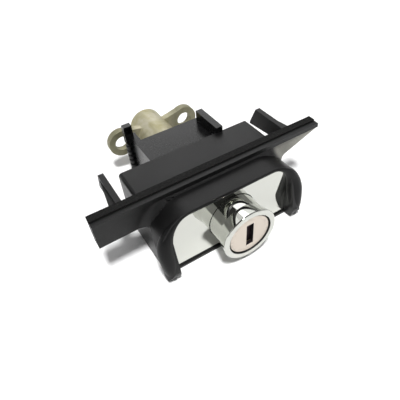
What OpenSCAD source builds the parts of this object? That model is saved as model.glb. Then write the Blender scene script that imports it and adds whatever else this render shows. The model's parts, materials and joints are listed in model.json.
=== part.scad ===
// Push-button boot lid lock with a hooded bezel.
// The lock axis is the Y axis, the panel's outer face is the plane y = 0, the front is at negative y.

/* [Flange bar] */
// Length of the bar along the panel
bar_l = 82; // [74:1:100]
// Thickness of the bar's plate in front of its gasket
bar_t = 2; // [1.6:0.1:3]
// Height of the rail's top above the lock axis
rail_top = 14.2; // [13.4:0.1:16]
// Height of the rail along the bar's top edge
rail_h = 1.5; // [1:0.1:2.5]
// Step from the rail's front back to the wing's face
rail_step = 0.5; // [0.2:0.1:0.9]
// Height of the bar's lower edge above the lock axis, at its left end
wing_bot = 4.5; // [3:0.1:6]
// Height of the bar's lower edge above the lock axis, where the right wing starts
root_bot = 6.3; // [5:0.1:7]
// Height of the right wing at its end, where its lower edge has risen
right_tip_h = 1.9; // [1.6:0.1:6]
// Thickness of the foam gasket
gasket_t = 2.6; // [1.5:0.1:4]
// Height of the gasket's edge above the rail
gasket_lip = 0.5; // [0:0.1:1]

/* [Hood and box] */
// Width of the hood and of the box behind it
body_w = 51; // [50:0.5:56]
// Height of the hood's roof above the lock axis
hood_top = 12; // [11.6:0.1:13]
// Depth of the body's underside below the lock axis
body_bot = 11.8; // [11.4:0.1:14]
// Outer radius of the hood's shoulders
shoulder_r = 11; // [8.5:0.5:12]
// Thickness of the hood's side walls at the rim
cheek_t = 3.2; // [2.8:0.1:4]
// Thickness of the hood's roof at the rim
roof_t = 1.1; // [0.9:0.1:1.6]
// Inner radius of the hood's shoulders
mouth_r = 7.2; // [5:0.2:8]
// Distance from the panel to the top of the rim
rim_y = 12.6; // [12.2:0.1:14]
// Lean of the rim, its lower end forward
rim_rake = 12.4; // [8:0.2:15]
// Radius of the rounded cheek ends
cheek_r = 4.4; // [2:0.1:6]
// Radius of the cheeks' lower outer edges
tip_r = 2.6; // [1:0.1:3]
// Outward flare of the hood's sides from the panel to the rim
hood_flare = 1.3; // [0:0.1:1.6]
// Radius of the rim's outer corners, seen along the rim
corner_r = 3.2; // [1:0.1:3.6]
// Radius of the fillet where the shoulders meet the wings
root_r = 3.6; // [1:0.2:4]
// Height of the box's top above the lock axis
box_top = 11.2; // [10.8:0.1:11.5]
// Length of the box behind the panel
box_l = 15.3; // [13:0.1:20]
// Wall of the box
box_wall = 2; // [1.5:0.1:2.4]
// Radius of the box's upper edges
box_r = 1.2; // [0.5:0.1:3]

/* [Clip prongs] */
// Distance of the prongs from the lock axis
prong_x = 30.8; // [30.2:0.1:33]
// Thickness of a prong
prong_t = 1.9; // [1.5:0.1:3]
// Height of a prong at its root
prong_root_h = 5.4; // [5:0.1:6]
// Height of a prong at its end
prong_h = 7.4; // [6:0.1:8]
// Height of the prongs' top above the lock axis
prong_top = 13.6; // [13:0.1:14]
// Length of the prongs behind the panel, along their top
prong_l = 15.8; // [13:0.1:18]
// Extra length of a prong's lower edge
prong_lean = 3; // [1:0.1:4]
// Size of the catch on the outside of a prong
prong_catch = 2; // [0.8:0.1:2.4]

/* [Escutcheon] */
// Thickness of the bright plate
plate_t = 0.8; // [0.5:0.1:1.2]
// Distance from the panel to the plate's front face
plate_y = 12; // [11.6:0.1:12.2]
// Gap between the plate and the hood
plate_gap = 0.15; // [0.05:0.05:0.3]
// Width of a bent retaining tab
tab_w = 6; // [4:0.5:8]
// Height of the plate's lower edge above the body's underside
plate_lift = 1; // [0.6:0.1:1.5]
// Depth of the sill under the plate, in front of the plate's face
sill_t = 0.6; // [0.3:0.1:1]

/* [Button] */
// Distance from the panel to the key plug's face
face_y = 21.4; // [20.4:0.1:23]
// Radius of the nose's front ring
ring_r = 9.5; // [9.2:0.05:10]
// Radius of the nose behind its ring
neck_r = 8.5; // [8.3:0.05:8.8]
// Length of the straight part of the ring
ring_l = 1.5; // [1:0.1:2]
// Length of the flare from the neck to the ring
flare_l = 2.6; // [1.5:0.1:3.5]
// Height of the ring in front of the plug's face
ring_lip = 0.4; // [0.1:0.1:0.8]
// Radius of the bore in the nose
nose_bore = 7.6; // [7.45:0.05:7.8]
// Distance from the panel to the rear of the nose
nose_rear = 7.4; // [7:0.1:8.4]
// Radius of the barrel behind the nose
barrel_r = 6.6; // [6.3:0.05:6.8]
// Travel of the button
button_travel = 5; // [3:0.5:5]
// Radial clearance of sliding and turning fits
run_gap = 0.05; // [0.02:0.01:0.09]
// Radial clearance of pieces that are fixed together
fix_gap = 0.02; // [0.01:0.01:0.05]
// Gap between faces that stay apart
face_gap = 0.3; // [0.2:0.05:0.4]
// Wire diameter of the return spring
spring_wire = 1.1; // [0.8:0.05:1.2]
// Turns of the return spring
spring_turns = 7; // [5:0.5:9]

/* [Carrier] */
// Distance of the carrier's right side from the lock axis
carrier_right = 14.7; // [14:0.1:16.4]
// Distance of the carrier's left side from the lock axis
carrier_left = 12.9; // [12.4:0.1:14]
// Thickness of the carrier's side walls
carrier_wall = 2.6; // [2:0.1:3]
// Height of the carrier's top above the lock axis
carrier_top = 8.6; // [8.5:0.1:9.4]
// Depth of the carrier's underside below the lock axis
carrier_bot = 9.4; // [9.2:0.1:9.7]
// Length of the carrier behind the box
carrier_l = 16; // [15:0.5:20]
// Height of the arm and the post above the lock axis
arm_top = 13.4; // [11:0.2:15]
// Length of the right arm behind the box
arm_l = 13.6; // [8:0.2:15]
// Length of the left post along the axis
post_l = 2.4; // [2:0.1:4]
// Distance of the carrier screws from the box's sides
screw_inset = 5.2; // [4.9:0.1:6]
// Radius of the screws' shanks
screw_r = 1.25; // [1:0.05:1.5]

/* [Lock body] */
// Outer radius of the cast housing
housing_r = 6.9; // [6.8:0.1:8]
// Radius of the chamber inside it
chamber_r = 5.3; // [5.2:0.05:5.5]
// Length of the housing behind the carrier
housing_l = 20.6; // [18:0.2:24]
// Length of the housing's spigot in the carrier
spigot_l = 5; // [4:0.1:5.2]
// Distance between the two ear holes
ear_pitch = 28; // [27:0.2:36]
// Height of the ear holes above the lock axis
ear_z = 1.4; // [0:0.1:2]
// Radius of an ear's rounded end
ear_r = 5.6; // [5.2:0.1:6.4]
// Radius of an ear hole
ear_hole_r = 3; // [2.1:0.05:3.3]
// Thickness of the ears
ear_t = 2.8; // [2:0.1:4]
// Distance from the ears' rear face to the housing's rear end
ear_inset = 6.1; // [4:0.1:9]

/* [Key plug] */
// Radius of the plug's shaft
plug_r = 5; // [4.9:0.05:5.2]
// Radius of the plug's head
head_r = 7.2; // [7:0.05:7.3]
// Length of the plug's head
head_l = 6.8; // [6.6:0.1:7.2]
// Thickness of the plug's face cap
cap_t = 1.2; // [0.8:0.1:1.2]
// Height of the key slot
slot_h = 9; // [8.6:0.1:9.2]
// Width of the key slot
slot_w = 2.6; // [2.2:0.1:2.8]
// Spacing of the wafers
wafer_pitch = 2.6; // [2.2:0.1:3.2]
// Thickness of a wafer
wafer_t = 0.9; // [0.6:0.05:1]
// Radius of the tail shaft
tail_r = 2.6; // [2.2:0.1:2.9]
// Reach of the cam's finger from the lock axis
cam_reach = 9; // [7:0.5:9.2]
// Thickness of the cam
cam_t = 2.5; // [1.5:0.1:3]

/* [Dust shutter] */
// Thickness of the shutter's flap
flap_t = 0.6; // [0.4:0.05:0.7]
// Radius of the shutter's pin
pin_r = 0.5; // [0.4:0.02:0.52]
// Radius of the shutter's knuckle
knuckle_r = 0.85; // [0.8:0.02:0.9]

/* [Hidden] */
$fn = 96;

// Overlap of cutting shapes past the faces they cut
cut = 1;
// Reach of cutting shapes that pass right through
far = 2 * bar_l;
// Play between faces that touch
touch = 0.02;
half_w = body_w / 2;
bar_y = -gasket_t - bar_t;
// Slope that trims the root fillet toward the rail
root_fade = 0.6;
floor_y = -plate_y + plate_t;
floor_t = box_wall;
mouth_w = half_w - cheek_t;
mouth_top = hood_top - roof_t;
plate_bot = -body_bot + plate_lift;

// Guide boss in the bezel, round the nose
guide_wall = 2;
guide_r = neck_r + run_gap;
guide_over = 1;
guide_end = -nose_rear + button_travel + guide_over;
seal_w = 1.6;
seal_h = 0.9;
seal_y = floor_y + seal_h;

// Bent tabs of the escutcheon
tab_inset = 3;
tab_out = 1.6;

// End of a prong and wedge of its catch
prong_nib = 0.8;
catch_trim = 1.2;
catch_rise = 0.6;

// Carrier plate in the box's rear mouth
screw_x = half_w - screw_inset;
seat_y = box_l - box_wall;
seat_gap = 0.2;
boss_r = 2.7;
boss_z = 6.2;
screw_head_r = 2.2;
screw_head_h = 1.5;
screw_l = 12;
screw_tip = 0.5;
recess_w = 0.6;
recess_h = 0.8;
recess_l = 2.6;
tube_wall = 2.4;
core_wall = 2;
core_roof = 1.8;
post_gap = 3.5;
post_bot = 6;
post_out = 1.9;
post_w = 3.2;
post_wall = 0.6;
post_pocket = 3.4;
column_out = 0.8;
column_r = 1;
rib_h = 0.35;
rib_pitch = 2.2;
rib_count = 7;
bore_r = barrel_r + run_gap;
carrier_end = box_l + carrier_l;

// Guide key under the barrel, which also stops the button at the front
key_w = 2;
key_l = 4;
key_h = 1;
key_sink = 0.7;
key_y = box_l + face_gap;

// Lock body
spigot_r = bore_r - fix_gap;
spigot_y = carrier_end - spigot_l;
housing_y = carrier_end + face_gap / 2;
housing_end = housing_y + housing_l;
cap_seat_t = 2;
cap_step = 0.6;
cap_seat_r = chamber_r + cap_step;
cap_y = housing_end - cap_seat_t - face_gap;
ear_rear = housing_end - ear_inset;
ear_x = ear_pitch / 2;
stop_pin_r = 1;
stop_pin_y = carrier_end - spigot_l / 2;

// Button and plug
nose_front = -face_y - ring_lip;
cap_rear = -face_y + cap_t;
head_end = cap_rear + head_l;
barrel_front = head_end + face_gap;
nose_round = 0.5;
cap_round = 0.3;
cap_r = nose_bore - 0.35;
clip_set = 5;
clip_y = seat_y + clip_set;
clip_t = 0.8;
clip_sink = 0.7;
clip_mouth = 4;
clip_bore_r = plug_r + 0.9;
plug_tip = 0.8;
plug_end = clip_y + clip_t + plug_tip;
barrel_over = 1;
barrel_end = plug_end + barrel_over;
spring_r = (neck_r + barrel_r) / 2 + run_gap;
drive_w = 3.4;
drive_t = 1.6;
drive_l = 2;
cam_gap = 0.7;
cam_y = housing_end + cam_gap;
cam_hub_r = 4.6;
cam_w = 4.4;
cam_flat = 0.7;
cam_screw_r = 0.9;
cam_screw_l = 2.6;
cam_head_step = 0.6;
cam_head_h = 1.2;
cam_slot_w = 0.6;
cam_slot_h = 0.5;

// Wafers across the plug
wafer_count = 5;
wafer_set = 3;
wafer_y = head_end + wafer_set;
wafer_w = 4.6;
wafer_gap = 0.1;
wafer_half = sqrt(plug_r * plug_r - wafer_w * wafer_w / 4) - run_gap;
window_h = 6.6;
ledge_w = 1.3;
ledge_z = 2.5;
ledge_h = 0.8;
wafer_coil_r = 0.45;
wafer_wire = 0.2;
wafer_spring_l = 3.6;

// Shutter behind the plug's face
hinge_set = 1.5;
hinge_drop = 0.6;
flap_lap = 0.5;
pin_end = 0.8;
hinge_x = slot_w / 2 + hinge_set;
flap_y = cap_rear + face_gap;
hinge_y = flap_y + flap_t + hinge_drop;
flap_h = slot_h + flap_lap;
flap_reach = slot_w / 2 + flap_lap;
pocket_h = flap_h + 2 * face_gap;
pocket_l = hinge_y - cap_rear + hinge_x + flap_reach + flap_lap;
pocket_side = hinge_x + knuckle_r + face_gap;
pin_l = pocket_h + 2 * pin_end;
coil_gap = 2.6;
coil_wire = 0.24;
coil_half = 0.6;

// Lean of the rim as a line: n points forward, off the rim
rim_n = [-cos(rim_rake), sin(rim_rake)];
cheek_cz = -body_bot + cheek_r;
cheek_cy = (-rim_y * rim_n[0] + hood_top * rim_n[1] - cheek_r - cheek_cz * rim_n[1]) / rim_n[0];

// Carries a shape drawn in x and z along y
module along_y(y0, y1) {
    translate([0, y1, 0]) rotate([90, 0, 0]) linear_extrude(y1 - y0) children();
}

// Carries a shape drawn in y and z along x
module along_x(x0, x1) {
    translate([x0, 0, 0]) rotate([90, 0, 90]) linear_extrude(x1 - x0) children();
}

// Turns a profile drawn in radius and y about the lock axis
module turned() {
    rotate([-90, 0, 0]) rotate_extrude() children();
}

// Round bar or bore along y
module rod(r, y0, y1) {
    translate([0, y0, 0]) rotate([-90, 0, 0]) cylinder(r = r, h = y1 - y0);
}

// Box from its low to its high corner
module block(low, high) {
    translate(low) cube(high - low);
}

module both_sides() {
    children();
    mirror([1, 0, 0]) children();
}

// Arch with rounded shoulders, drawn in x and z
module arch(w, top, bot, r) {
    translate([-w, bot]) square([2 * w, top - r - bot]);
    translate([r - w, bot]) square([2 * (w - r), top - bot]);
    for (s = [-1, 1]) translate([s * (w - r), top - r]) circle(r);
}

// Front view of the hood: an arch whose lower corners are round too
module hood_front() {
    wide = half_w + hood_flare;
    inner = wide - tip_r;
    translate([0, tip_r]) arch(wide, hood_top - tip_r, -body_bot, shoulder_r + hood_flare);
    translate([-inner, -body_bot]) square([2 * inner, 2 * tip_r]);
    for (s = [-1, 1]) translate([s * inner, tip_r - body_bot]) circle(tip_r);
}

// Side view of the hood: leaning rim, rounded cheek end and level underside
module hood_side(back) {
    tangent = [cheek_cy, cheek_cz] + cheek_r * rim_n;
    polygon([[-rim_y, hood_top], tangent, [cheek_cy, cheek_cz], [cheek_cy, -body_bot],
        [back, -body_bot], [back, hood_top]]);
    translate([cheek_cy, cheek_cz]) circle(cheek_r);
}

// Outline of the hood seen along its leaning rim: sides that flare in front of the waist, round front corners
module hood_plan() {
    lean = hood_top * sin(rim_rake);
    front = -rim_y * cos(rim_rake) - lean;
    waist = bar_y * cos(rim_rake) - lean;
    wide = half_w + hood_flare;
    polygon([[-wide, front + corner_r], [corner_r - wide, front], [wide - corner_r, front],
        [wide, front + corner_r], [half_w, waist], [half_w, rim_y], [-half_w, rim_y], [-half_w, waist]]);
    for (s = [-1, 1]) translate([s * (wide - corner_r), front + corner_r]) circle(corner_r);
}

// Outline of the bar: its lower edge climbs slowly to the right wing, then steeply to the right tip
module bar_outline(top) {
    tip_z = rail_top - right_tip_h;
    polygon([[-bar_l / 2, wing_bot], [half_w, root_bot], [bar_l / 2, tip_z], [bar_l / 2, top],
        [-bar_l / 2, top]]);
}

// Section of the concave corner at the hood's root, drawn outward from the hood and along y
module root_section() {
    difference() {
        translate([-cut, -root_r]) square([root_r + cut, root_r + rail_step / 2]);
        translate([root_r, -root_r]) circle(root_r);
    }
}

// Concave corner round the hood's root, fading into the rail's lower edge
module root_fillet() {
    wing_y = bar_y + rail_step;
    low = rail_top - rail_h;
    straight = half_w - shoulder_r;
    intersection() {
        union() {
            both_sides() translate([straight, wing_y, hood_top - shoulder_r]) rotate([-90, 0, 0])
                rotate_extrude(angle = -90) translate([shoulder_r, 0]) root_section();
            translate([-straight, wing_y, hood_top]) rotate([0, -90, 180]) rotate([0, 0, 180])
                linear_extrude(2 * straight) root_section();
        }
        along_x(-bar_l, bar_l) polygon([[0, wing_bot], [bar_y - root_fade * (low - wing_bot), wing_bot],
            [bar_y, low], [0, low]]);
        along_y(-far, 0) bar_outline(rail_top);
    }
}

// One clip prong: a fin with a leaning end, and a wedge-shaped catch on its outer side
module prong() {
    x0 = prong_x - prong_t / 2;
    x1 = prong_x + prong_t / 2;
    foot = -gasket_t - bar_t / 4;
    low = prong_top - prong_h;
    root = prong_top - prong_root_h;
    tip = prong_l + prong_lean;
    catch_end = prong_l - prong_nib;
    along_x(x0, x1)
        polygon([[foot, root], [tip, low], [tip, low + prong_nib], [prong_l, prong_top], [foot, prong_top]]);
    translate([0, 0, root]) linear_extrude(prong_root_h - catch_trim) polygon([[prong_x, catch_trim],
        [x1 + prong_catch, catch_trim + catch_rise], [x1, catch_end], [prong_x, catch_end]]);
}

// Bent tab of the escutcheon, or its slot when it grows by a gap
module plate_tabs(gap) {
    x = mouth_w - tab_inset;
    both_sides() block([x - gap, floor_y - plate_t / 2, -tab_w / 2 - gap],
        [x + plate_t + gap, floor_y + floor_t + tab_out, tab_w / 2 + gap]);
}

module screw_places() {
    for (x = [-screw_x, screw_x], z = [-boss_z, boss_z]) translate([x, 0, z]) children();
}

module bezel() {
    color([0.09, 0.09, 0.09]) {
        bezel_shell();
        // Sill under the escutcheon
        block([-mouth_w - cut / 2, -plate_y - sill_t, -body_bot],
            [mouth_w + cut / 2, floor_y + cut / 2, plate_bot - plate_gap]);
    }
}

// The bezel without the sill of its mouth
module bezel_shell() {
    difference() {
        union() {
            intersection() {
                along_y(-far, bar_y + bar_t) hood_front();
                along_x(-half_w - hood_flare - cut, half_w + hood_flare + cut) hood_side(bar_y + bar_t);
                rotate([-rim_rake, 0, 0]) linear_extrude(far, center = true) hood_plan();
            }
            along_y(bar_y + bar_t / 2, box_l) arch(half_w, box_top, -body_bot, box_r);
            along_y(bar_y + rail_step, -gasket_t) bar_outline(rail_top);
            intersection() {
                along_y(bar_y, -gasket_t) bar_outline(rail_top);
                block([-bar_l, bar_y - cut, rail_top - rail_h], [bar_l, 0, rail_top + cut]);
            }
            root_fillet();
            both_sides() prong();
        }
        // Mouth of the hood, open at its lower side
        along_y(-far, floor_y) arch(mouth_w, mouth_top, -far, mouth_r);
        // Inside of the box, open at the rear
        difference() {
            union() {
                along_y(floor_y + floor_t, bar_y + bar_t)
                    arch(half_w - box_wall, hood_top - box_wall, -body_bot + box_wall, shoulder_r - box_wall);
                along_y(bar_y, box_l + cut) square_mouth(0);
            }
            rod(guide_r + guide_wall, floor_y, guide_end);
            screw_places() rod(boss_r, floor_y, seat_y);
        }
        rod(guide_r, floor_y - cut, guide_end + cut);
        rod(guide_r + seal_h, seal_y, seal_y + seal_w);
        plate_tabs(plate_gap);
        screw_places() rod(screw_r + fix_gap, seat_y - screw_l, seat_y + cut);
    }
}

// Inside of the box, drawn in x and z, smaller by a gap all round
module square_mouth(gap) {
    w = half_w - box_wall - gap;
    translate([-w, -body_bot + box_wall + gap])
        square([2 * w, box_top + body_bot - 2 * box_wall - 2 * gap]);
}

module flange_gasket() {
    color([0.16, 0.16, 0.15]) difference() {
        along_y(-gasket_t, 0) bar_outline(rail_top + gasket_lip);
        along_y(-gasket_t - cut, cut) arch(half_w + fix_gap, box_top + fix_gap, -body_bot, box_r);
        root = prong_top - prong_root_h - 2 * face_gap;
        both_sides() block([prong_x - prong_t / 2 - fix_gap, -gasket_t - cut, root],
            [prong_x + prong_t / 2 + prong_catch + face_gap, cut, prong_top + fix_gap]);
    }
}

module escutcheon() {
    color([0.9, 0.91, 0.9]) difference() {
        union() {
            along_y(-plate_y, floor_y)
                arch(mouth_w - plate_gap, mouth_top - plate_gap, plate_bot, mouth_r - plate_gap);
            plate_tabs(0);
        }
        rod(guide_r + plate_gap, -plate_y - cut, floor_y + cut);
    }
}

module guide_carrier() {
    inner_right = carrier_right - carrier_wall;
    inner_left = carrier_left - carrier_wall;
    post_x = -carrier_left - post_out;
    post_y = carrier_end + post_gap;
    post_end = post_y + post_l;
    color([0.12, 0.12, 0.12]) difference() {
        union() {
            along_y(seat_y, box_l) square_mouth(seat_gap);
            block([-carrier_left, box_l - cut / 2, -carrier_bot], [carrier_right, carrier_end, carrier_top]);
            // Right arm beside the top
            block([inner_right, box_l - cut / 2, carrier_top - cut], [carrier_right, box_l + arm_l, arm_top]);
            // Left wall, which runs on to the post at the rear
            block([-carrier_left, carrier_end - cut, -carrier_bot], [-inner_left, post_end, carrier_top]);
            block([post_x, post_y, post_bot], [post_x + post_w, post_end, arm_top]);
            // Ribbed column under the post
            translate([-carrier_left - column_out, (post_y + post_end) / 2, -carrier_bot]) {
                cylinder(r = column_r, h = carrier_bot + post_bot + cut);
                for (i = [0:rib_count - 1]) translate([0, 0, i * rib_pitch])
                    cylinder(r = column_r + rib_h, h = rib_pitch / 2);
            }
        }
        rod(bore_r, seat_y - cut, carrier_end + cut);
        // Keyway for the guide key, open below
        block([-key_w / 2 - run_gap, box_l, -carrier_bot - cut],
            [key_w / 2 + run_gap, key_y + key_l + button_travel + face_gap, 0]);
        // Core pockets between the tube and the side walls, open below
        block([bore_r + tube_wall, box_l + core_wall, -carrier_bot - cut],
            [inner_right, carrier_end - core_wall, carrier_top - core_roof]);
        block([-inner_left, box_l + core_wall, -carrier_bot - cut],
            [-bore_r - tube_wall, carrier_end - core_wall, carrier_top - core_roof]);
        // Square pocket in the post's front
        block([post_x + post_wall, post_y - cut, arm_top - post_wall - post_pocket],
            [post_x + post_w - post_wall, post_end - post_wall, arm_top - post_wall]);
        screw_places() rod(screw_r + fix_gap, seat_y - cut, box_l + cut);
        translate([0, stop_pin_y, -carrier_bot - cut]) cylinder(r = stop_pin_r + fix_gap, h = carrier_bot);
    }
}

module carrier_screws() {
    color([0.75, 0.75, 0.76]) screw_places() difference() {
        union() {
            rod(screw_r, seat_y - screw_l + screw_tip, box_l + screw_head_h / 2);
            rod(screw_head_r, box_l + touch, box_l + screw_head_h);
        }
        for (a = [0, 90]) rotate([0, a, 0])
            block([-recess_w / 2, box_l + screw_head_h - recess_h, -recess_l / 2],
                [recess_w / 2, box_l + screw_head_h + cut, recess_l / 2]);
    }
}

// Two ears with round ends, their webs narrowing toward the housing, drawn in x and z
module ears() {
    root = housing_r * sin(45) - touch;
    web_x = ear_x - ear_r * cos(60);
    web_z = ear_r * sin(60);
    for (s = [-1, 1]) translate([s * ear_x, ear_z]) circle(ear_r);
    for (s = [-1, 1]) polygon([[0, root], [s * root, root], [s * web_x, ear_z + web_z],
        [s * web_x, ear_z - web_z], [s * root, -root], [0, -root]]);
}

module lock_body() {
    color([0.72, 0.68, 0.5]) difference() {
        union() {
            rod(spigot_r, spigot_y, housing_y + cut);
            rod(housing_r, housing_y, housing_end);
            along_y(ear_rear - ear_t, ear_rear) ears();
        }
        rod(chamber_r, spigot_y - cut, housing_end);
        rod(cap_seat_r, cap_y, housing_end + cut);
        for (s = [-1, 1]) translate([s * ear_x, 0, ear_z])
            rod(ear_hole_r, ear_rear - ear_t - cut, ear_rear + cut);
        translate([0, stop_pin_y, -spigot_r - cut]) cylinder(r = stop_pin_r + fix_gap, h = spigot_r);
    }
}

module body_pin() {
    color([0.6, 0.6, 0.62]) translate([0, stop_pin_y, -carrier_bot])
        cylinder(r = stop_pin_r, h = carrier_bot - chamber_r - face_gap / 2);
}

module rear_cap() {
    color([0.7, 0.7, 0.7]) difference() {
        rod(cap_seat_r - fix_gap, cap_y, cap_y + cap_seat_t);
        rod(tail_r + run_gap, cap_y - cut, cap_y + cap_seat_t + cut);
    }
}

module nose_seal() {
    color([0.05, 0.05, 0.05]) turned() translate([guide_r - run_gap / 2, seal_y + run_gap])
        square([seal_h, seal_w - 2 * run_gap]);
}

module nose_shell() {
    color([0.92, 0.92, 0.93]) turned() difference() {
        union() {
            polygon([[0, nose_front + nose_round], [ring_r, nose_front + nose_round],
                [ring_r, nose_front + ring_l], [neck_r, nose_front + ring_l + flare_l], [neck_r, -nose_rear],
                [0, -nose_rear]]);
            translate([0, nose_front]) square([ring_r - nose_round, cut]);
            translate([ring_r - nose_round, nose_front + nose_round]) circle(nose_round);
        }
        translate([-far, nose_front - cut]) square([far + nose_bore, far]);
    }
}

module barrel() {
    color([0.78, 0.7, 0.45]) difference() {
        union() {
            rod(nose_bore - fix_gap, barrel_front, -nose_rear);
            rod(barrel_r, -nose_rear - cut, barrel_end);
        }
        rod(plug_r + run_gap, barrel_front - cut, barrel_end + cut);
        rod(clip_bore_r, clip_y - face_gap / 2, barrel_end + cut);
        block([-key_w / 2 - fix_gap, key_y - fix_gap, -barrel_r - cut],
            [key_w / 2 + fix_gap, key_y + key_l + fix_gap, -barrel_r + key_sink]);
    }
}

module guide_key() {
    color([0.6, 0.6, 0.62]) block([-key_w / 2, key_y, -barrel_r - key_h],
        [key_w / 2, key_y + key_l, -barrel_r + key_sink - touch]);
}

// Open snap ring between two radii
module snap_ring(inner, outer, y0, t, mouth) {
    difference() {
        rod(outer, y0, y0 + t);
        rod(inner, y0 - cut, y0 + t + cut);
        block([-mouth / 2, y0 - cut, 0], [mouth / 2, y0 + t + cut, outer + cut]);
    }
}

// Points of one wire section round a coil about the y axis
function coil_ring(r, wire, a, y, sides) = [for (i = [0:sides - 1])
    let (b = 360 * i / sides, q = r + wire / 2 * cos(b))
    [q * cos(a), y + wire / 2 * sin(b), q * sin(a)]];

// Points of a coil from y0 to y1, its wire inside those ends
function coil_points(r, wire, y0, y1, turns, sides, rings) = [for (k = [0:rings])
    each coil_ring(r, wire, 360 * turns * k / rings, y0 + wire / 2 + (y1 - y0 - wire) * k / rings, sides)];

// Faces of a coil whose first point has the given number
function coil_faces(first, sides, rings) = concat(
    [for (k = [0:rings - 1], i = [0:sides - 1]) let (j = (i + 1) % sides, n = first + k * sides)
        each [[n + i, n + sides + i, n + sides + j], [n + i, n + sides + j, n + j]]],
    [[for (i = [0:sides - 1]) first + i]],
    [[for (i = [sides - 1:-1:0]) first + rings * sides + i]]);

module coil(r, wire, y0, y1, turns, sides, steps) {
    rings = ceil(turns * steps);
    polyhedron(coil_points(r, wire, y0, y1, turns, sides, rings), coil_faces(0, sides, rings), convexity = 6);
}

module return_spring() {
    color([0.55, 0.55, 0.58])
        coil(spring_r, spring_wire, -nose_rear + touch, seat_y - touch, spring_turns, 8, 16);
}

module wafer_places() {
    for (i = [0:wafer_count - 1]) translate([0, wafer_y + i * wafer_pitch, 0]) children();
}

module key_plug() {
    color([0.72, 0.6, 0.35]) difference() {
        union() {
            rod(head_r, cap_rear, head_end);
            rod(plug_r, head_end - cut, plug_end);
        }
        // Keyway
        block([-slot_w / 2, cap_rear - cut, -slot_h / 2],
            [slot_w / 2, wafer_y + (wafer_count + 1) * wafer_pitch, slot_h / 2]);
        // Pocket for the shutter
        block([-flap_reach - face_gap, cap_rear - cut, -pocket_h / 2],
            [pocket_side, cap_rear + pocket_l, pocket_h / 2]);
        translate([hinge_x, hinge_y, -pin_l / 2]) cylinder(r = pin_r + fix_gap, h = pin_l);
        wafer_places() {
            block([-wafer_w / 2 - wafer_gap, -wafer_t / 2 - wafer_gap, -plug_r - cut],
                [wafer_w / 2 + wafer_gap, wafer_t / 2 + wafer_gap, plug_r + cut]);
            block([0, -wafer_t / 2 - wafer_gap, ledge_z - wafer_spring_l - wafer_gap],
                [wafer_w / 2 + ledge_w + wafer_gap, wafer_t / 2 + wafer_gap, ledge_z + ledge_h + wafer_gap]);
        }
        turned() translate([plug_r - clip_sink, clip_y - fix_gap])
            square([clip_sink + cut, clip_t + 2 * fix_gap]);
        block([-drive_w / 2 - fix_gap, plug_end - drive_l - fix_gap, -drive_t / 2 - fix_gap],
            [drive_w / 2 + fix_gap, plug_end + cut, drive_t / 2 + fix_gap]);
    }
}

module plug_face() {
    color([0.88, 0.84, 0.78]) difference() {
        turned() union() {
            translate([0, -face_y]) square([cap_r - cap_round, cap_t]);
            translate([0, -face_y + cap_round]) square([cap_r, cap_t - cap_round]);
            translate([cap_r - cap_round, -face_y + cap_round]) circle(cap_round);
        }
        block([-slot_w / 2, -face_y - cut, -slot_h / 2], [slot_w / 2, cap_rear + cut, slot_h / 2]);
    }
}

module wafers() {
    color([0.82, 0.7, 0.4]) wafer_places() difference() {
        union() {
            block([-wafer_w / 2, -wafer_t / 2, -wafer_half], [wafer_w / 2, wafer_t / 2, wafer_half]);
            block([0, -wafer_t / 2, ledge_z], [wafer_w / 2 + ledge_w, wafer_t / 2, ledge_z + ledge_h]);
        }
        block([-slot_w / 2, -wafer_t, -window_h / 2], [slot_w / 2, wafer_t, window_h / 2]);
    }
}

// One coil beside each wafer, pressing up on its ledge
module wafer_springs() {
    x = wafer_w / 2 + ledge_w / 2 + wafer_gap;
    sides = 6;
    rings = 40;
    one = coil_points(wafer_coil_r, wafer_wire, touch, wafer_spring_l, 4, sides, rings);
    points = [for (i = [0:wafer_count - 1], q = one)
        [x + q[0], wafer_y + i * wafer_pitch + q[2], ledge_z - q[1]]];
    faces = [for (i = [0:wafer_count - 1]) each coil_faces(i * sides * (rings + 1), sides, rings)];
    color([0.5, 0.5, 0.52]) polyhedron(points, faces, convexity = 6);
}

module plug_clip() {
    color([0.35, 0.36, 0.38])
        snap_ring(plug_r - clip_sink + fix_gap, clip_bore_r - face_gap / 2, clip_y, clip_t, clip_mouth);
}

module tail_shaft() {
    color([0.6, 0.6, 0.62]) difference() {
        union() {
            block([-drive_w / 2, plug_end - drive_l, -drive_t / 2],
                [drive_w / 2, plug_end + cut, drive_t / 2]);
            rod(tail_r, plug_end + touch, cam_y + cam_t);
        }
        // Flats that carry the cam
        both_sides() block([tail_r - cam_flat, cam_y, -tail_r - cut],
            [tail_r + cut, cam_y + cam_t + cut, tail_r + cut]);
        rod(cam_screw_r + fix_gap, cam_y - cam_screw_l - face_gap, cam_y + cam_t + cut);
    }
}

module tail_cam() {
    flat = tail_r - cam_flat + fix_gap;
    color([0.68, 0.68, 0.66]) difference() {
        along_y(cam_y + touch, cam_y + cam_t) union() {
            circle(cam_hub_r);
            translate([-cam_w / 2, -cam_reach + cam_w / 2]) square([cam_w, cam_reach - cam_w / 2]);
            translate([0, -cam_reach + cam_w / 2]) circle(cam_w / 2);
        }
        intersection() {
            rod(tail_r + fix_gap, cam_y - cut, cam_y + cam_t + cut);
            block([-flat, cam_y - cut, -tail_r - cut], [flat, cam_y + cam_t + cut, tail_r + cut]);
        }
    }
}

module cam_screw() {
    y0 = cam_y + cam_t + touch;
    color([0.75, 0.75, 0.76]) difference() {
        union() {
            rod(cam_screw_r, cam_y - cam_screw_l, y0 + cam_head_h / 2);
            rod(tail_r + cam_head_step, y0, y0 + cam_head_h);
        }
        block([-tail_r - cut, y0 + cam_head_h - cam_slot_h, -cam_slot_w / 2],
            [tail_r + cut, y0 + cam_head_h + cut, cam_slot_w / 2]);
    }
}

module shutter_pin() {
    color([0.65, 0.65, 0.66]) translate([hinge_x, hinge_y, -pin_l / 2]) cylinder(r = pin_r, h = pin_l);
}

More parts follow.
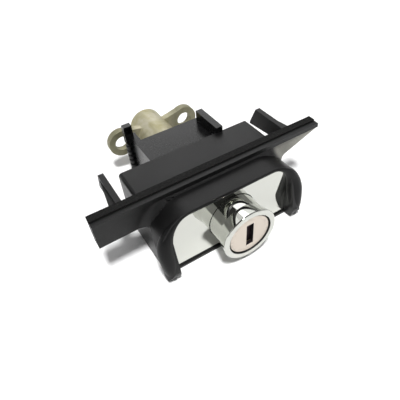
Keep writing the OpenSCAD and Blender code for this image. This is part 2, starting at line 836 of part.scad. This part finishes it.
// Small torsion spring round the pin
module shutter_spring() {
    color([0.5, 0.5, 0.52]) translate([hinge_x, hinge_y, 0]) rotate([90, 0, 0])
        coil(pin_r + run_gap + coil_wire / 2, coil_wire, -coil_half, coil_half, 4, 6, 12);
}

module dust_shutter() {
    color([0.2, 0.18, 0.2]) translate([hinge_x, hinge_y, 0]) difference() {
        union() {
            block([-hinge_x - flap_reach, flap_y - hinge_y, -flap_h / 2],
                [0, flap_y + flap_t - hinge_y, flap_h / 2]);
            translate([0, 0, -flap_h / 2]) cylinder(r = knuckle_r, h = flap_h);
            block([-knuckle_r, flap_y - hinge_y, -flap_h / 2], [0, 0, flap_h / 2]);
        }
        translate([0, 0, -flap_h / 2 - cut]) cylinder(r = pin_r + run_gap, h = flap_h + 2 * cut);
        block([-knuckle_r - face_gap, -knuckle_r - cut, -coil_gap / 2],
            [knuckle_r + cut, knuckle_r + cut, coil_gap / 2]);
    }
}

bezel();
flange_gasket();
escutcheon();
guide_carrier();
carrier_screws();
lock_body();
body_pin();
rear_cap();
nose_seal();
nose_shell();
barrel();
guide_key();
return_spring();
key_plug();
plug_face();
wafers();
wafer_springs();
plug_clip();
tail_shaft();
tail_cam();
cam_screw();
shutter_pin();
shutter_spring();
dust_shutter();
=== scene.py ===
import json
import math

import bpy
import numpy as np
from mathutils import Matrix, Vector


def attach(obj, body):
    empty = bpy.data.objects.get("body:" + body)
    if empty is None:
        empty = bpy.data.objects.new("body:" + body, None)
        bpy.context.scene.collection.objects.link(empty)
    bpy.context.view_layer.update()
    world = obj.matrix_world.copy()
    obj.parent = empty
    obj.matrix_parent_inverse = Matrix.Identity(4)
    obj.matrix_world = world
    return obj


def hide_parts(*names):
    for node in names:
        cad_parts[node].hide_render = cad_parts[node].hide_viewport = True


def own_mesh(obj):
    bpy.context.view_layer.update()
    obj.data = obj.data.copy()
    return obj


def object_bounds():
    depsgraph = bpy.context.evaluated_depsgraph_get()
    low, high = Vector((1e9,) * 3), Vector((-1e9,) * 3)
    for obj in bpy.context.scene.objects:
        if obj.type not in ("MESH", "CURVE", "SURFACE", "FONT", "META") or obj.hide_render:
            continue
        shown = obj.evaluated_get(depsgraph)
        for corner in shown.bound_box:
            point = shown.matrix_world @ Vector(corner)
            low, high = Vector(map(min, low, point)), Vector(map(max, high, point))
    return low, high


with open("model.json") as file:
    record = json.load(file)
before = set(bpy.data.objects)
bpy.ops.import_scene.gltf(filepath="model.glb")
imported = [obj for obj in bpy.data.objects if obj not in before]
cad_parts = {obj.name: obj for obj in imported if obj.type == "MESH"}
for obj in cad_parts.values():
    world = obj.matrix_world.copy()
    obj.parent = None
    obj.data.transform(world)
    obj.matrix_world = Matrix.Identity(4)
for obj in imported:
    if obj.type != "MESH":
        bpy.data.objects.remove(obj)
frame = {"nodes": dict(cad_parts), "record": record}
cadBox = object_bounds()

nodes = frame["nodes"]
mm = 0.001
print("frame loaded:", len(nodes), "nodes")


# One shader socket: Python operators on it add the maths nodes
class Wire:
    def __init__(self, tree, socket):
        self.tree = tree
        self.socket = socket

    # Adds any node, sets its settings, feeds its inputs and gives the wire of one output
    def node(self, kind, inputs=(), out=0, **settings):
        made = self.tree.nodes.new(kind)
        for key, value in settings.items():
            setattr(made, key, value)
        pairs = inputs.items() if isinstance(inputs, dict) else enumerate(inputs)
        for key, value in pairs:
            self.feed(made.inputs[key], value)
        return Wire(self.tree, made.outputs[out])

    def feed(self, socket, value):
        if isinstance(value, Wire):
            self.tree.links.new(value.socket, socket)
        else:
            socket.default_value = value

    def maths(self, operation, *others):
        return self.node("ShaderNodeMath", (self, *others), operation=operation)

    def __add__(self, other):
        return self.maths("ADD", other)

    def __sub__(self, other):
        return self.maths("SUBTRACT", other)

    def __mul__(self, other):
        return self.maths("MULTIPLY", other)

    def __truediv__(self, other):
        return self.maths("DIVIDE", other)

    def __pow__(self, other):
        return self.maths("POWER", other)

    def __radd__(self, other):
        return self.maths("ADD", other)

    def __rmul__(self, other):
        return self.maths("MULTIPLY", other)

    def __rsub__(self, other):
        return self.node("ShaderNodeMath", (other, self), operation="SUBTRACT")

    def __rtruediv__(self, other):
        return self.node("ShaderNodeMath", (other, self), operation="DIVIDE")

    def below(self, limit):
        return self.maths("LESS_THAN", limit)

    def size(self):
        return self.maths("ABSOLUTE")

    def clip(self):
        return self.node("ShaderNodeClamp", (self, 0.0, 1.0))

    # Goes straight from 0 at the start to 1 at the end, and stays there
    def ramp(self, start, end):
        return ((self - start) / (end - start)).clip()


# A new material: its first wire (object coordinates) and a function that closes it with shader inputs
def newMaterial(name):
    mat = bpy.data.materials.new(name)
    mat.use_nodes = True
    tree = mat.node_tree
    shader = next(n for n in tree.nodes if n.type == "BSDF_PRINCIPLED")
    place = Wire(tree, tree.nodes.new("ShaderNodeTexCoord").outputs["Object"])

    def close(**inputs):
        for key, value in inputs.items():
            place.feed(shader.inputs[key.replace("_", " ")], value)
        return mat

    return place, close


# Object coordinates stretched axis by axis, so that a noise grain can run along one way
def stretched(place, factors):
    return place.node("ShaderNodeVectorMath", (place, factors), operation="MULTIPLY")


def noise(place, scale, detail=4.0, rough=0.55, distortion=0.0):
    return place.node("ShaderNodeTexNoise", {"Vector": place, "Scale": scale, "Detail": detail,
                                             "Roughness": rough, "Distortion": distortion})


def mixed(factor, a, b):
    made = factor.tree.nodes.new("ShaderNodeMix")
    made.data_type = "RGBA"
    ins = [s for s in made.inputs if s.type == "RGBA"]
    factor.feed(made.inputs[0], factor)
    factor.feed(ins[0], a if isinstance(a, Wire) else (*a, 1.0))
    factor.feed(ins[1], b if isinstance(b, Wire) else (*b, 1.0))
    return Wire(factor.tree, next(s for s in made.outputs if s.type == "RGBA"))


def dimmed(colour, share):
    return [c * share for c in colour]


def bump(height, strength, distance):
    return height.node("ShaderNodeBump", {"Strength": strength, "Distance": distance, "Height": height},
                       out="Normal")


def axes(place):
    split = place.node("ShaderNodeSeparateXYZ", (place,)).socket.node
    return [Wire(place.tree, socket) for socket in split.outputs]


# Where the painted sheen lies: ramps in x, z and y that frame the right wing's face, and the x over which it grows to
# full strength
paintedWingSheen = {"start": (21.5 * mm, 23.5 * mm), "rail": (12.7 * mm, 12.2 * mm), "front": (-6.2 * mm, -4.5 * mm),
            "rear": (-3.5 * mm, -3.9 * mm), "heavy": (28.0 * mm, 40.0 * mm), "thin": 0.55, "cover": 0.75,
            "patchy": 0.5}
# The pale colour in this table and its share paint a sheen of reflected light on the right wing's face
plastic = {"dark": (0.0022, 0.0022, 0.0024), "light": (0.0046, 0.0044, 0.0045), "paintedSheen": (0.46, 0.455, 0.40),
           "paintedSheenShare": 1.0, "cloud": 90.0, "grain": 2600.0, "rough": 0.30, "roughBy": (0.16, 0.08, 0.3),
           "shine": 0.3, "depth": 0.22, "relief": 0.08 * mm}
smoothPlastic = {**plastic, "dark": (0.003, 0.003, 0.0032), "light": (0.006, 0.006, 0.0062), "paintedSheenShare": 0.0,
                 "grain": 1800.0, "rough": 0.14, "shine": 0.29, "depth": 0.03}
lipPlastic = {**plastic, "paintedSheenShare": 0.0, "shine": 0.17}


# Moulded plastic: base colour between two near-blacks by a slow noise, skin grain as fine bump.
# A pale painted sheen on the right wing's face stands in for reflected light: it grows with x past 21.5 mm and stops
# at the rail's lower edge
def plasticMaterial(name, settings):
    place, close = newMaterial(name)
    x, y, z = axes(place)
    slow = noise(place, settings["cloud"])
    grain = noise(place, settings["grain"], detail=2.0)
    face = y.ramp(*paintedWingSheen["front"]) * y.ramp(*paintedWingSheen["rear"])
    wing = x.ramp(*paintedWingSheen["start"]) * z.ramp(*paintedWingSheen["rail"]) * face
    heavy = paintedWingSheen["thin"] + (1.0 - paintedWingSheen["thin"]) * x.ramp(*paintedWingSheen["heavy"])
    patches = paintedWingSheen["cover"] + paintedWingSheen["patchy"] * (grain - 0.5)
    # Painted sheen: a pale mask on the right wing's face that stands in for reflected light
    paintedSheen = settings["paintedSheenShare"] * wing * heavy * patches
    bySlow, byGrain, byPaintedSheen = settings["roughBy"]
    base = mixed(slow, settings["dark"], settings["light"])
    return close(Base_Color=mixed(paintedSheen, base, settings["paintedSheen"]),
                 Roughness=settings["rough"] + bySlow * slow + byGrain * grain + byPaintedSheen * paintedSheen,
                 Specular_IOR_Level=settings["shine"],
                 Normal=bump(grain, settings["depth"], settings["relief"]))


foam = {"dark": (0.002, 0.002, 0.002), "light": (0.011, 0.011, 0.0105), "cells": 1500.0, "pits": 5200.0,
        "pitShare": 0.35, "tone": (0.35, 0.7), "rough": 0.75, "roughBy": 0.2, "shine": 0.2, "depth": 0.9,
        "relief": 0.3 * mm}


# Open foam: coarse cells over fine pits, with painted shade where the cells lie low
def foamMaterial(name, settings):
    place, close = newMaterial(name)
    cells = noise(place, settings["cells"], detail=5.0, rough=0.7)
    pits = noise(place, settings["pits"], detail=2.0)
    return close(Base_Color=mixed(cells.ramp(*settings["tone"]), settings["dark"], settings["light"]),
                 Roughness=settings["rough"] + settings["roughBy"] * pits,
                 Specular_IOR_Level=settings["shine"],
                 Normal=bump(cells + settings["pitShare"] * pits, settings["depth"], settings["relief"]))


chrome = {"colour": (0.58, 0.587, 0.548), "dim": 0.96, "haze": 0.045, "bore": 0.0, "paintedBoreShade": (0.012, 0.011, 0.011),
          "paintedBoreShadeRough": 0.6, "smear": 120.0, "stretch": (1.0, 1.0, 2.5), "smeared": (0.4, 0.75),
          "hazeBy": (0.4, 1.2), "fine": 900.0, "depth": 0.015, "relief": 0.05 * mm}
noseChrome = {**chrome, "haze": 0.11, "bore": 7.66 * mm}


# Bright plate: mirror with finger haze in the roughness; inside the bore radius it is painted dark and rough, a
# painted shade for the deep gap
def chromeMaterial(name, settings):
    place, close = newMaterial(name)
    x, _, z = axes(place)
    # Painted shade: inside the bore radius the colour turns near black and non-metal
    inside = ((x * x + z * z) ** 0.5).below(settings["bore"])
    smear = noise(stretched(place, settings["stretch"]), settings["smear"], detail=5.0)
    fine = noise(place, settings["fine"], detail=3.0)
    clean, smeared = settings["hazeBy"]
    bright = mixed(smear, settings["colour"], dimmed(settings["colour"], settings["dim"]))
    haze = settings["haze"] * (clean + smeared * smear.ramp(*settings["smeared"]))
    return close(Base_Color=mixed(inside, bright, settings["paintedBoreShade"]), Metallic=1.0 - inside,
                 Roughness=haze + settings["paintedBoreShadeRough"] * inside,
                 Normal=bump(fine, settings["depth"], settings["relief"]))


cap = {"colour": (0.59, 0.53, 0.465), "dim": 0.55, "slotHalf": (1.31 * mm, 4.51 * mm), "slot": (0.010, 0.007, 0.008),
       "strokes": 4200.0, "along": 0.05, "dirt": 700.0, "dirty": (0.45, 0.8), "rim": (5.5 * mm, 7.4 * mm),
       "rough": 0.40, "roughBy": (0.16, 0.1), "depth": 0.25, "relief": 0.03 * mm}


# Satin cap: brush lines along z, grey dirt toward the rim, and painted shade: black, non-metal walls inside the key
# slot
def capMaterial(name, settings):
    place, close = newMaterial(name)
    x, _, z = axes(place)
    halfWide, halfTall = settings["slotHalf"]
    # Painted shade: the walls inside the key slot are coloured near black
    inSlot = x.size().below(halfWide) * z.size().below(halfTall)
    radius = (x * x + z * z) ** 0.5
    strokes = noise(stretched(place, (1.0, 1.0, settings["along"])), settings["strokes"], detail=3.0)
    dirt = noise(place, settings["dirt"]).ramp(*settings["dirty"]) * radius.ramp(*settings["rim"])
    byStrokes, byDirt = settings["roughBy"]
    face = mixed(dirt, settings["colour"], dimmed(settings["colour"], settings["dim"]))
    return close(Base_Color=mixed(inSlot, face, settings["slot"]), Metallic=1.0 - inSlot,
                 Roughness=settings["rough"] + byStrokes * (strokes - 0.5) + byDirt * dirt,
                 Normal=bump(strokes, settings["depth"], settings["relief"]))


brush = {"lines": 5000.0, "along": 0.03, "cloud": 250.0, "dim": 0.82, "roughBy": (0.18, 0.1), "depth": 0.25,
         "relief": 0.03 * mm}


# Brushed or turned metal: noise stretched along one axis gives the tool lines
def brushedMaterial(name, colour, rough, along):
    place, close = newMaterial(name)
    way = [brush["along"] if axis == along else 1.0 for axis in "xyz"]
    strokes = noise(stretched(place, way), brush["lines"], detail=3.0)
    slow = noise(place, brush["cloud"])
    byStrokes, bySlow = brush["roughBy"]
    return close(Base_Color=mixed(slow, dimmed(colour, brush["dim"]), colour), Metallic=1.0,
                 Roughness=rough + byStrokes * (strokes - 0.5) + bySlow * slow,
                 Normal=bump(strokes, brush["depth"], brush["relief"]))


zinc = {"pale": (0.49, 0.46, 0.345), "gold": (0.35, 0.32, 0.18), "dull": (0.22, 0.21, 0.145),
        "ear": (0.21, 0.20, 0.125), "cloud": 130.0, "swirl": 0.8, "clouded": (0.38, 0.66), "spots": 420.0,
        "spotted": (0.55, 0.8), "spotShare": 0.6, "ears": (7.0 * mm, 10.0 * mm), "earBy": (0.6, 0.5), "sand": 2400.0,
        "metal": 0.55, "rough": 0.42, "roughBy": 0.2, "depth": 0.3, "relief": 0.06 * mm}


# Cast zinc under yellow passivation: pale and gold cloud, dull in spots, with a sandy skin.
# The thin ears, past 7 mm from the axis, are painted darker than the round housing: painted shade
def zincMaterial(name, settings):
    place, close = newMaterial(name)
    x = axes(place)[0]
    cloud = noise(place, settings["cloud"], detail=5.0, rough=0.6, distortion=settings["swirl"])
    spots = noise(place, settings["spots"])
    sand = noise(place, settings["sand"], detail=3.0)
    always, byCloud = settings["earBy"]
    # Painted shade: past 7 mm from the axis the ears are mixed toward a darker colour
    ears = x.size().ramp(*settings["ears"]) * (always + byCloud * cloud)
    tube = mixed(cloud.ramp(*settings["clouded"]), settings["pale"], settings["gold"])
    base = mixed(ears, tube, settings["ear"])
    dull = spots.ramp(*settings["spotted"]) * settings["spotShare"]
    return close(Base_Color=mixed(dull, base, settings["dull"]), Metallic=settings["metal"],
                 Roughness=settings["rough"] + settings["roughBy"] * spots,
                 Normal=bump(sand, settings["depth"], settings["relief"]))


materials = {
    "black_plastic": plasticMaterial("blackPlastic", plastic),
    "foam_rubber": foamMaterial("foamRubber", foam),
    "chrome_plate": chromeMaterial("chromePlate", chrome),
    "bright_steel": brushedMaterial("brightSteel", (0.48, 0.48, 0.49), 0.32, "x"),
    "spring_steel": brushedMaterial("springSteel", (0.42, 0.43, 0.45), 0.36, "z"),
    "passivated_zinc": zincMaterial("passivatedZinc", zinc),
    "plug_brass": brushedMaterial("plugBrass", (0.72, 0.58, 0.31), 0.34, "y"),
    "satin_cap": capMaterial("satinCap", cap),
    "shutter_steel": brushedMaterial("shutterSteel", (0.035, 0.022, 0.026), 0.45, "z"),
}
slotOf = {s["node"]: s["material_slot"] for s in frame["record"]["subparts"]}
special = {
    "guide_carrier": plasticMaterial("carrierPlastic", smoothPlastic),
    "hoodLip": plasticMaterial("lipPlastic", lipPlastic),
    "nose_shell": chromeMaterial("noseChrome", noseChrome),
}
for name, obj in nodes.items():
    obj.data.materials.clear()
    obj.data.materials.append(special.get(name) or materials[slotOf[name]])
print("materials set:", len(materials) + len(special))

# Bevel width in millimetres, and the bend in degrees past which an edge gets it
edges = {"bezel": (0.5, 16), "guide_carrier": (0.2, 32), "lock_body": (0.3, 32)}


# Merges points that lie on each other: the seams of a CAD node, or the row of points at a surface's pole
def weldPoints(obj):
    weld = obj.modifiers.new("weld", "WELD")
    weld.merge_threshold = 0.002 * mm


# Welds a CAD node's seams and rounds its edges that bend by more than the given degrees
def softEdges(obj, width, bend):
    weldPoints(obj)
    bevel = obj.modifiers.new("round", "BEVEL")
    bevel.width = width * mm
    bevel.segments = 3
    bevel.limit_method = "ANGLE"
    bevel.angle_limit = math.radians(bend)
    bevel.use_clamp_overlap = True
    shade = obj.modifiers.new("shade", "WEIGHTED_NORMAL")
    shade.keep_sharp = True


for name, (width, bend) in edges.items():
    softEdges(nodes[name], width, bend)
print("edges rounded:", len(edges), "nodes")


# Turns a grid of points, its axes along u and v, into a smooth mesh object; either way may close on itself
def gridObject(name, points, wrapU=False, wrapV=False, caps=False):
    nu, nv = points.shape[:2]
    u = np.arange(nu if wrapU else nu - 1)
    v = np.arange(nv if wrapV else nv - 1)
    a, b = np.meshgrid(u, v, indexing="ij")
    c, d = (a + 1) % nu, (b + 1) % nv
    quads = np.stack([a * nv + b, a * nv + d, c * nv + d, c * nv + b], -1).reshape(-1, 4).tolist()
    if caps:  # flat ends across the two open rows of a tube
        quads += [np.arange(nv)[::-1].tolist(), ((nu - 1) * nv + np.arange(nv)).tolist()]
    mesh = bpy.data.meshes.new(name)
    mesh.from_pydata(points.reshape(-1, 3).tolist(), [], quads)
    mesh.polygons.foreach_set("use_smooth", np.ones(len(mesh.polygons), bool))
    mesh.update()
    obj = bpy.data.objects.new(name, mesh)
    bpy.context.collection.objects.link(obj)
    return obj


springWire = {"mean": 7.6 * mm, "wire": 0.54 * mm, "front": -7.38 * mm, "rear": 13.28 * mm, "turns": 7.0,
              "closed": 0.35, "steps": 560, "sides": 14, "keep": 0.758}


# Return spring: a circle of the wire's radius carried along a helix about y. Its pitch opens with the square of the
# way over the first turn, and closes likewise over the last
def returnSpring(settings):
    t = np.linspace(0.0, 1.0, settings["steps"])
    angle = 2 * np.pi * settings["turns"] * t
    edge = 1.0 / settings["turns"]
    pitch = settings["closed"] + np.clip(np.minimum(t, 1 - t) / edge, 0, 1) ** 2
    run = np.concatenate([[0.0], np.cumsum((pitch[1:] + pitch[:-1]) / 2)])
    y = settings["front"] + settings["wire"] + run / run[-1] * (
        settings["rear"] - settings["front"] - 2 * settings["wire"])
    turn = np.linspace(0, 2 * np.pi, settings["sides"], endpoint=False)[None]
    radial = settings["mean"] + settings["wire"] * np.cos(turn)
    points = np.stack([radial * np.cos(angle)[:, None], y[:, None] + settings["wire"] * np.sin(turn) + 0 * radial,
                       radial * np.sin(angle)[:, None]], -1)
    obj = gridObject("returnSpringWire", points, wrapV=True, caps=True)
    obj.data.materials.append(materials["spring_steel"])
    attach(obj, "housing")
    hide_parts("return_spring")
    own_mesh(obj)


bead = {"half": 21.93 * mm, "top": 10.58 * mm, "corner": 6.85 * mm, "y": -12.28 * mm, "across": 0.17 * mm,
        "along": 0.32 * mm, "sweep": 1.1, "thinning": 1 / 3, "arc": 48, "sides": 16}


# Rolled upper edge of the bright plate: an ellipse carried round two corner arcs and the straight roof between. Its
# half-axes grow from nothing, with the square root of the way, over the outer third of each arc
def plateBead(settings):
    w, r, top = settings["half"], settings["corner"], settings["top"]
    turn = np.linspace(np.pi / 2 + settings["sweep"], np.pi / 2, settings["arc"])
    fade = np.sqrt(np.clip(np.linspace(0, 1 / settings["thinning"], settings["arc"]), 0.0, 1.0))
    way = np.stack([np.cos(turn), np.sin(turn)], -1)
    half = np.array([r - w, top - r]) + r * way
    flip = np.array([-1.0, 1.0])
    flat = np.concatenate([half, half[::-1] * flip])
    out = np.concatenate([way, way[::-1] * flip])
    fade = np.concatenate([fade, fade[::-1]])[:, None]
    phase = np.linspace(2 * np.pi, 0, settings["sides"], endpoint=False)[None]
    across = settings["across"] * fade * np.cos(phase)
    points = np.stack([flat[:, :1] + across * out[:, :1],
                       settings["y"] + settings["along"] * fade * np.sin(phase),
                       flat[:, 1:] + across * out[:, 1:]], -1)
    obj = gridObject("plateBead", points, wrapV=True)
    weldPoints(obj)
    obj.data.materials.append(materials["chrome_plate"])
    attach(obj, "housing")


# Roof and cheek: half the lip's thickness, half its depth, how far it stands out of the outline and ahead of the rim
lip = {"half": 26.9 * mm, "top": 12.1 * mm, "corner": 12.4 * mm, "low": -11.0 * mm, "rimY": -12.6 * mm,
       "rake": math.radians(12.4), "roof": (0.62 * mm, 0.8 * mm, 0.0, 0.12 * mm),
       "cheek": (2.7 * mm, 2.65 * mm, 0.5 * mm, 0.6 * mm), "taper": 11.5 * mm, "arc": 56, "straight": 40, "sides": 36}


# Rounded lip of the hood: an ellipse carried round the leaning arch of the rim. Its half-axes, and how far it stands
# out and ahead, grow from the roof's to the cheeks' with the square of the outline normal's x part. Toward each cheek
# end all four shrink to nothing along a quarter circle, about a middle that stays one full half-axis in from outline
# and rim, so that the lip sinks into the cheek
def hoodLip(settings):
    w, r, top = settings["half"], settings["corner"], settings["top"]
    rise = np.linspace(settings["low"], top - r, settings["straight"], endpoint=False)
    side = np.stack([np.full(len(rise), -w), rise], -1)
    turn = np.linspace(np.pi, np.pi / 2, settings["arc"])
    way = np.stack([np.cos(turn), np.sin(turn)], -1)
    edge = np.concatenate([side, np.array([r - w, top - r]) + r * way])
    out = np.concatenate([np.tile([[-1.0, 0.0]], (len(rise), 1)), way])
    flip = np.array([-1.0, 1.0])
    edge = np.concatenate([edge, edge[::-1] * flip])
    out = np.concatenate([out, out[::-1] * flip])
    steep = out[:, :1] ** 2
    thick, deep, swell, proud = (a + (b - a) * steep for a, b in zip(settings["roof"], settings["cheek"]))
    near = np.clip((edge[:, 1:] - settings["low"]) / settings["taper"], 0.0, 1.0)
    close = np.sqrt(1.0 - (1.0 - near) ** 2)
    middle = edge + (swell * close - thick) * out
    phase = np.linspace(0, 2 * np.pi, settings["sides"], endpoint=False)[None]
    up = np.array([0.0, math.sin(settings["rake"]), math.cos(settings["rake"])])
    ahead = np.array([0.0, -math.cos(settings["rake"]), math.sin(settings["rake"])])
    normal = out[:, :1] * np.array([1.0, 0.0, 0.0]) + out[:, 1:] * up
    lean = settings["rimY"] - (top - middle[:, 1]) * math.tan(settings["rake"])
    centre = np.stack([middle[:, 0], lean, middle[:, 1]], -1) - (deep - proud * close) * ahead
    wide = (thick * close * np.cos(phase))[..., None] * normal[:, None]
    points = centre[:, None] + wide + (deep * close * np.sin(phase))[..., None] * ahead
    obj = gridObject("hoodLip", points, wrapV=True)
    weldPoints(obj)
    obj.data.materials.append(special["hoodLip"])
    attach(obj, "housing")


nose = {"neck": 8.5 * mm, "ring": 9.5 * mm, "bore": 7.6 * mm, "rear": -7.4 * mm, "flare": -17.1 * mm,
        "front": -21.8 * mm, "round": 0.4 * mm, "inner": 0.2 * mm, "crease": 0.03 * mm, "steps": 24, "arc": 12,
        "turns": 192}


# Chromed nose: a closed profile of radius and y turned about the lock axis. Straight neck, straight flare, quarter
# rounds to the front face and the bore; each straight run has close rows at its ends, which keep its creases crisp
def noseShell(settings):
    quarter = np.linspace(0, np.pi / 2, settings["arc"])
    r1, r2 = settings["round"], settings["inner"]

    def run(a, b):
        tight = settings["crease"] / math.dist(a, b)
        t = np.concatenate([[0.0], np.linspace(tight, 1.0 - tight, settings["steps"]), [1.0]])[:, None]
        return np.array(a) + t * (np.array(b) - np.array(a))

    start = settings["front"] + r1
    rearOuter, rearInner = (settings["neck"], settings["rear"]), (settings["bore"], settings["rear"])
    joint = (settings["neck"], settings["flare"])
    outer = np.stack([settings["ring"] - r1 + r1 * np.cos(quarter), start - r1 * np.sin(quarter)], -1)
    inner = np.stack([settings["bore"] + r2 - r2 * np.sin(quarter),
                      settings["front"] + r2 - r2 * np.cos(quarter)], -1)
    profile = np.concatenate([run(rearInner, rearOuter)[:-1], run(rearOuter, joint)[:-1],
                              run(joint, (settings["ring"], start))[:-1], outer[:-1],
                              run(outer[-1], inner[0])[:-1], inner[:-1], run(inner[-1], rearInner)[:-1]])
    turn = np.linspace(0, 2 * np.pi, settings["turns"], endpoint=False)[None]
    points = np.stack([profile[:, :1] * np.cos(turn), profile[:, 1:] + 0 * turn, profile[:, :1] * np.sin(turn)], -1)
    obj = gridObject("noseChromeShell", points, wrapU=True, wrapV=True)
    obj.data.materials.append(special["nose_shell"])
    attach(obj, "button")
    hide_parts("nose_shell")


returnSpring(springWire)
plateBead(bead)
hoodLip(lip)
noseShell(nose)
print("pieces made")

sweep = {"flat": 1.7, "curve": 0.5, "wall": 1.3, "rings": [0.0, 0.2, 0.6], "drop": 0.02 * mm, "turns": 96,
         "steps": 14, "tones": ((0.93, 0.93, 0.93), (0.96, 0.96, 0.96)), "cloud": 6.0, "rough": 0.9}


# Studio sweep: a flat disc, a quarter round and a wall, as one profile of radius and height turned about z
def floorSweep(settings):
    low = cadBox[0][2] - settings["drop"]
    bend = np.linspace(0, np.pi / 2, settings["steps"])
    radius = np.concatenate([settings["rings"], settings["flat"] + settings["curve"] * np.sin(bend),
                             [settings["flat"] + settings["curve"]]])
    height = np.concatenate([np.zeros(len(settings["rings"])), settings["curve"] * (1 - np.cos(bend)),
                             [settings["wall"]]])
    turn = np.linspace(2 * np.pi, 0, settings["turns"], endpoint=False)[None]
    points = np.stack([radius[:, None] * np.cos(turn), radius[:, None] * np.sin(turn),
                       low + height[:, None] + 0 * turn], -1)
    obj = gridObject("floor", points, wrapV=True)
    weldPoints(obj)
    place, close = newMaterial("floorPaper")
    tone = noise(place, settings["cloud"])
    obj.data.materials.append(close(Base_Color=mixed(tone, *settings["tones"]), Roughness=settings["rough"]))


lamps = {
    "keyLight": {"at": (-0.12, -0.39, 1.12), "size": (0.14, 0.20), "power": 16.6},
    "backLight": {"at": (0.54, 1.02, 1.12), "size": (1.15, 0.85), "power": 5.6},
    "lowLight": {"at": (0.12, 1.45, 0.60), "size": (2.6, 0.7), "power": 5.0},
    "leftLight": {"at": (-1.20, 0.60, 0.50), "size": (0.6, 0.6), "power": 1.2},
    "frontLight": {"at": (0.40, -1.15, 0.22), "size": (0.9, 0.35), "power": 1.2},
}


# A white soft box that faces the origin
def softBox(name, at, size, power):
    light = bpy.data.lights.new(name, "AREA")
    light.shape = "RECTANGLE"
    light.size, light.size_y = size
    light.energy = power
    obj = bpy.data.objects.new(name, light)
    bpy.context.collection.objects.link(obj)
    obj.location = at
    obj.rotation_euler = (-Vector(at)).to_track_quat("-Z", "Y").to_euler()


floorSweep(sweep)
for name, lamp in lamps.items():
    softBox(name, **lamp)
world = bpy.data.worlds.new("studioWorld")
bpy.context.scene.world = world
world.use_nodes = True
backdrop = world.node_tree.nodes["Background"]
backdrop.inputs["Color"].default_value = (1.0, 1.0, 1.0, 1.0)
backdrop.inputs["Strength"].default_value = 0.04

# The photograph's camera, solved from the part's own corners
view = {"at": (-0.04584, -0.07801, 0.08943), "lens": 33.65, "sensor": 36.0, "near": 0.005,
        "right": (0.85013, -0.52254, -0.06505), "up": (0.41275, 0.58454, 0.69854),
        "back": (-0.32699, -0.62070, 0.71261)}
camData = bpy.data.cameras.new("photoCamera")
camData.lens = view["lens"]
camData.sensor_width = view["sensor"]
camData.clip_start = view["near"]
camera = bpy.data.objects.new("photoCamera", camData)
bpy.context.collection.objects.link(camera)
turned = Matrix((view["right"], view["up"], view["back"])).transposed()
camera.matrix_world = Matrix.Translation(view["at"]) @ turned.to_4x4()
bpy.context.scene.camera = camera
bpy.context.scene.view_settings.view_transform = "Standard"
print("studio set")
